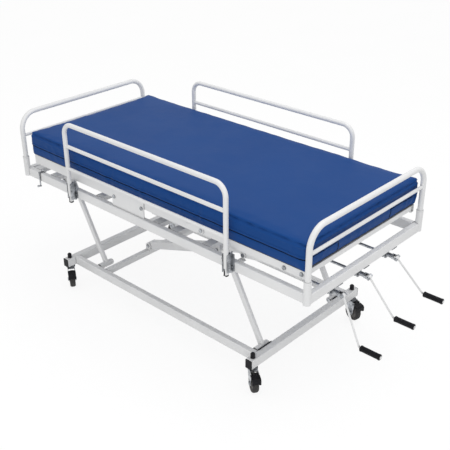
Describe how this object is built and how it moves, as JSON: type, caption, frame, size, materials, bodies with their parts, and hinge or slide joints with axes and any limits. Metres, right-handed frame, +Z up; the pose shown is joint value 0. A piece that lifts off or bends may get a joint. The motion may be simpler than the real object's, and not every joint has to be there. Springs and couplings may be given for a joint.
{
  "type": "manual hospital bed",
  "caption": "Manual hospital bed: wheeled base, parallel lift legs, jointed mattress platform with foam mattress, end boards, lift-out side rails and fold-in cranks.",
  "frame": {"origin": "on the floor, under the middle of the bounding box", "axes": "+X towards the foot end, where the cranks are; +Y towards the lying person's left; +Z up"},
  "size_m": [2.3086, 0.997, 1.1025],
  "materials": {
    "white_powder": "satin",
    "zinc_plated": "satin",
    "black_plastic": "satin",
    "tyre": "satin",
    "blue_cover": "satin"
  },
  "bodies": {
    "base": {"base_frame": "white_powder", "base_end_caps": "black_plastic", "stem_caps": "black_plastic", "caster_stems": "zinc_plated", "base_pivot_pins": "zinc_plated"},
    "legs_foot": {"legs_foot": "white_powder"},
    "legs_head": {"legs_head": "white_powder"},
    "lift_link": {"lift_link": "white_powder"},
    "upper_frame": {"upper_frame": "white_powder", "corner_sockets": "white_powder", "seat_deck": "white_powder", "hinge_bolts": "zinc_plated", "rail_brackets": "zinc_plated", "crank_brackets": "zinc_plated", "bag_hook": "zinc_plated", "leg_top_pins": "zinc_plated", "mattress_seat": "blue_cover"},
    "lift_nut": {"lift_nut": "zinc_plated"},
    "back_push_tube": {"back_push_tube": "white_powder"},
    "knee_push_tube": {"knee_push_tube": "white_powder"},
    "backrest": {"backrest_frame": "white_powder", "mattress_back": "blue_cover"},
    "thigh": {"thigh_frame": "white_powder", "knee_bolts": "zinc_plated", "mattress_thigh": "blue_cover"},
    "calf": {"calf_frame": "white_powder", "calf_studs": "zinc_plated", "mattress_calf": "blue_cover"},
    "calf_links": {"calf_links": "white_powder"},
    "head_board": {"head_board": "white_powder"},
    "foot_board": {"foot_board": "white_powder"},
    "side_rail_right": {"side_rail_right": "white_powder", "rail_caps_right": "black_plastic"},
    "rail_latch_right": {"rail_latch_right": "zinc_plated"},
    "side_rail_left": {"side_rail_left": "white_powder", "rail_caps_left": "black_plastic"},
    "rail_latch_left": {"rail_latch_left": "zinc_plated"},
    "crank_shaft_back": {"crank_shaft_back": "zinc_plated"},
    "crank_arm_back": {"crank_arm_back": "white_powder"},
    "crank_grip_back": {"crank_grip_back": "black_plastic"},
    "crank_shaft_lift": {"crank_shaft_lift": "zinc_plated"},
    "crank_arm_lift": {"crank_arm_lift": "white_powder"},
    "crank_grip_lift": {"crank_grip_lift": "black_plastic"},
    "crank_shaft_knee": {"crank_shaft_knee": "zinc_plated"},
    "crank_arm_knee": {"crank_arm_knee": "white_powder"},
    "crank_grip_knee": {"crank_grip_knee": "black_plastic"},
    "caster_fork_foot_right": {"caster_fork_foot_right": "zinc_plated"},
    "caster_wheel_foot_right": {"caster_wheel_foot_right": "tyre"},
    "brake_pedal_foot_right": {"brake_pedal_foot_right": "black_plastic"},
    "caster_fork_foot_left": {"caster_fork_foot_left": "zinc_plated"},
    "caster_wheel_foot_left": {"caster_wheel_foot_left": "tyre"},
    "brake_pedal_foot_left": {"brake_pedal_foot_left": "black_plastic"},
    "caster_fork_head_right": {"caster_fork_head_right": "zinc_plated"},
    "caster_wheel_head_right": {"caster_wheel_head_right": "tyre"},
    "brake_pedal_head_right": {"brake_pedal_head_right": "black_plastic"},
    "caster_fork_head_left": {"caster_fork_head_left": "zinc_plated"},
    "caster_wheel_head_left": {"caster_wheel_head_left": "tyre"},
    "brake_pedal_head_left": {"brake_pedal_head_left": "black_plastic"}
  },
  "joints": [
    {"name": "bed_lower", "type": "hinge", "parent": "base", "child": "legs_foot", "pos_m": [0.53732, 0, 0.167], "axis": [0, -1, 0], "range_deg": [0, 33.8]},
    {"name": "head_legs", "type": "hinge", "parent": "base", "child": "legs_head", "pos_m": [-0.67068, 0, 0.167], "axis": [0, -1, 0], "range_deg": [0, 33.8]},
    {"name": "frame_level", "type": "hinge", "parent": "legs_foot", "child": "upper_frame", "pos_m": [0.28214, 0, 0.6429], "axis": [0, -1, 0], "range_deg": [-33.8, 0]},
    {"name": "lift_link_hinge", "type": "hinge", "parent": "base", "child": "lift_link", "pos_m": [-0.58768, 0, 0.21], "axis": [0, 1, 0], "range_deg": [0, 10.94]},
    {"name": "lift_nut_slide", "type": "slide", "parent": "upper_frame", "child": "lift_nut", "axis": [1, 0, 0], "range_m": [0, 0.2758]},
    {"name": "backrest_hinge", "type": "hinge", "parent": "upper_frame", "child": "backrest", "pos_m": [-0.36368, 0, 0.757], "axis": [0, 1, 0], "range_deg": [0, 65], "deforming": ["mattress_seat"]},
    {"name": "back_tube_slide", "type": "slide", "parent": "upper_frame", "child": "back_push_tube", "axis": [-1, 0, 0], "range_m": [0, 0.1401]},
    {"name": "knee_hinge_thigh", "type": "hinge", "parent": "upper_frame", "child": "thigh", "pos_m": [-0.15168, 0, 0.757], "axis": [0, -1, 0], "range_deg": [0, 35]},
    {"name": "knee_tube_slide", "type": "slide", "parent": "upper_frame", "child": "knee_push_tube", "axis": [1, 0, 0], "range_m": [0, 0.075]},
    {"name": "knee_hinge_calf", "type": "hinge", "parent": "thigh", "child": "calf", "pos_m": [0.26732, 0, 0.779], "axis": [0, 1, 0], "range_deg": [0, 44.21]},
    {"name": "calf_link_hinge", "type": "hinge", "parent": "upper_frame", "child": "calf_links", "pos_m": [0.50732, 0, 0.726], "axis": [0, -1, 0], "range_deg": [0, 39.88]},
    {"name": "head_board_lift", "type": "slide", "parent": "upper_frame", "child": "head_board", "axis": [0, 0, 1], "range_m": [0, 0.12]},
    {"name": "foot_board_lift", "type": "slide", "parent": "upper_frame", "child": "foot_board", "axis": [0, 0, 1], "range_m": [0, 0.12]},
    {"name": "side_rail_lift_right", "type": "slide", "parent": "upper_frame", "child": "side_rail_right", "axis": [0, 0, 1], "range_m": [0, 0.15]},
    {"name": "latch_turn_right", "type": "hinge", "parent": "upper_frame", "child": "rail_latch_right", "pos_m": [0.43832, -0.47, 0.706], "axis": [-1, 0, 0], "range_deg": [0, 80]},
    {"name": "side_rail_lift_left", "type": "slide", "parent": "upper_frame", "child": "side_rail_left", "axis": [0, 0, 1], "range_m": [0, 0.15]},
    {"name": "latch_turn_left", "type": "hinge", "parent": "upper_frame", "child": "rail_latch_left", "pos_m": [0.43832, 0.47, 0.706], "axis": [1, 0, 0], "range_deg": [0, 80]},
    {"name": "crank_turn_back", "type": "hinge", "parent": "upper_frame", "child": "crank_shaft_back", "pos_m": [0.93832, -0.224, 0.604], "axis": [-1, 0, 0], "range_deg": [0, 6120]},
    {"name": "handle_fold_back", "type": "hinge", "parent": "crank_shaft_back", "child": "crank_arm_back", "pos_m": [0.93832, -0.224, 0.604], "axis": [0, 0.9986, 0.0523], "range_deg": [0, 45]},
    {"name": "grip_spin_back", "type": "hinge", "parent": "crank_arm_back", "child": "crank_grip_back", "pos_m": [1.08721, -0.21119, 0.35956], "axis": [1, 0, 0], "continuous": true},
    {"name": "crank_turn_lift", "type": "hinge", "parent": "upper_frame", "child": "crank_shaft_lift", "pos_m": [0.93832, -0.012, 0.604], "axis": [1, 0, 0], "range_deg": [0, 12240]},
    {"name": "handle_fold_lift", "type": "hinge", "parent": "crank_shaft_lift", "child": "crank_arm_lift", "pos_m": [0.93832, -0.012, 0.604], "axis": [0, 0.9336, 0.3584], "range_deg": [0, 45]},
    {"name": "grip_spin_lift", "type": "hinge", "parent": "crank_arm_lift", "child": "crank_grip_lift", "pos_m": [1.08721, 0.07572, 0.37549], "axis": [1, 0, 0], "continuous": true},
    {"name": "crank_turn_knee", "type": "hinge", "parent": "upper_frame", "child": "crank_shaft_knee", "pos_m": [0.93832, 0.228, 0.604], "axis": [-1, 0, 0], "range_deg": [0, 3240]},
    {"name": "handle_fold_knee", "type": "hinge", "parent": "crank_shaft_knee", "child": "crank_arm_knee", "pos_m": [0.93832, 0.228, 0.604], "axis": [0, 0.8829, 0.4695], "range_deg": [0, 45]},
    {"name": "grip_spin_knee", "type": "hinge", "parent": "crank_arm_knee", "child": "crank_grip_knee", "pos_m": [1.08721, 0.34292, 0.38788], "axis": [1, 0, 0], "continuous": true},
    {"name": "caster_swivel_foot_right", "type": "hinge", "parent": "base", "child": "caster_fork_foot_right", "pos_m": [0.57732, -0.418, 0.126], "axis": [0, 0, 1], "continuous": true},
    {"name": "wheel_spin_foot_right", "type": "hinge", "parent": "caster_fork_foot_right", "child": "caster_wheel_foot_right", "pos_m": [0.59779, -0.43234, 0.05], "axis": [0.5736, 0.8192, 0], "continuous": true},
    {"name": "pedal_press_foot_right", "type": "hinge", "parent": "caster_fork_foot_right", "child": "brake_pedal_foot_right", "pos_m": [0.61172, -0.44209, 0.109], "axis": [0.5736, 0.8192, 0], "range_deg": [0, 12]},
    {"name": "caster_swivel_foot_left", "type": "hinge", "parent": "base", "child": "caster_fork_foot_left", "pos_m": [0.57732, 0.418, 0.126], "axis": [0, 0, 1], "continuous": true},
    {"name": "wheel_spin_foot_left", "type": "hinge", "parent": "caster_fork_foot_left", "child": "caster_wheel_foot_left", "pos_m": [0.60168, 0.41238, 0.05], "axis": [0.225, 0.9744, 0], "continuous": true},
    {"name": "pedal_press_foot_left", "type": "hinge", "parent": "caster_fork_foot_left", "child": "brake_pedal_foot_left", "pos_m": [0.61824, 0.40855, 0.109], "axis": [0.225, 0.9744, 0], "range_deg": [0, 12]},
    {"name": "caster_swivel_head_right", "type": "hinge", "parent": "base", "child": "caster_fork_head_right", "pos_m": [-0.86768, -0.418, 0.126], "axis": [0, 0, 1], "continuous": true},
    {"name": "wheel_spin_head_right", "type": "hinge", "parent": "caster_fork_head_right", "child": "caster_wheel_head_right", "pos_m": [-0.84672, -0.43162, 0.05], "axis": [0.5446, 0.8387, 0], "continuous": true},
    {"name": "pedal_press_head_right", "type": "hinge", "parent": "caster_fork_head_right", "child": "brake_pedal_head_right", "pos_m": [-0.83246, -0.44088, 0.109], "axis": [0.5446, 0.8387, 0], "range_deg": [0, 12]},
    {"name": "caster_swivel_head_left", "type": "hinge", "parent": "base", "child": "caster_fork_head_left", "pos_m": [-0.86768, 0.418, 0.126], "axis": [0, 0, 1], "continuous": true},
    {"name": "wheel_spin_head_left", "type": "hinge", "parent": "caster_fork_head_left", "child": "caster_wheel_head_left", "pos_m": [-0.84323, 0.4232, 0.05], "axis": [-0.2079, 0.9781, 0], "continuous": true},
    {"name": "pedal_press_head_left", "type": "hinge", "parent": "caster_fork_head_left", "child": "brake_pedal_head_left", "pos_m": [-0.8266, 0.42673, 0.109], "axis": [-0.2079, 0.9781, 0], "range_deg": [0, 12]}
  ],
  "couplings": [
    {"joint": "head_legs", "follows": "bed_lower", "ratio": 1},
    {"joint": "frame_level", "follows": "bed_lower", "ratio": -1},
    {"joint": "lift_link_hinge", "follows": "bed_lower", "ratio": 0.32074},
    {"joint": "lift_nut_slide", "follows": "bed_lower", "m_per_rad": 0.46665},
    {"joint": "back_tube_slide", "follows": "backrest_hinge", "m_per_rad": 0.12302},
    {"joint": "knee_tube_slide", "follows": "knee_hinge_thigh", "m_per_rad": 0.12201},
    {"joint": "knee_hinge_calf", "follows": "knee_hinge_thigh", "ratio": 1.2604},
    {"joint": "calf_link_hinge", "follows": "knee_hinge_thigh", "ratio": 1.1366},
    {"joint": "crank_turn_back", "follows": "backrest_hinge", "ratio": 94.154},
    {"joint": "crank_turn_lift", "follows": "bed_lower", "ratio": 362.13},
    {"joint": "crank_turn_knee", "follows": "knee_hinge_thigh", "ratio": 92.571}
  ]
}
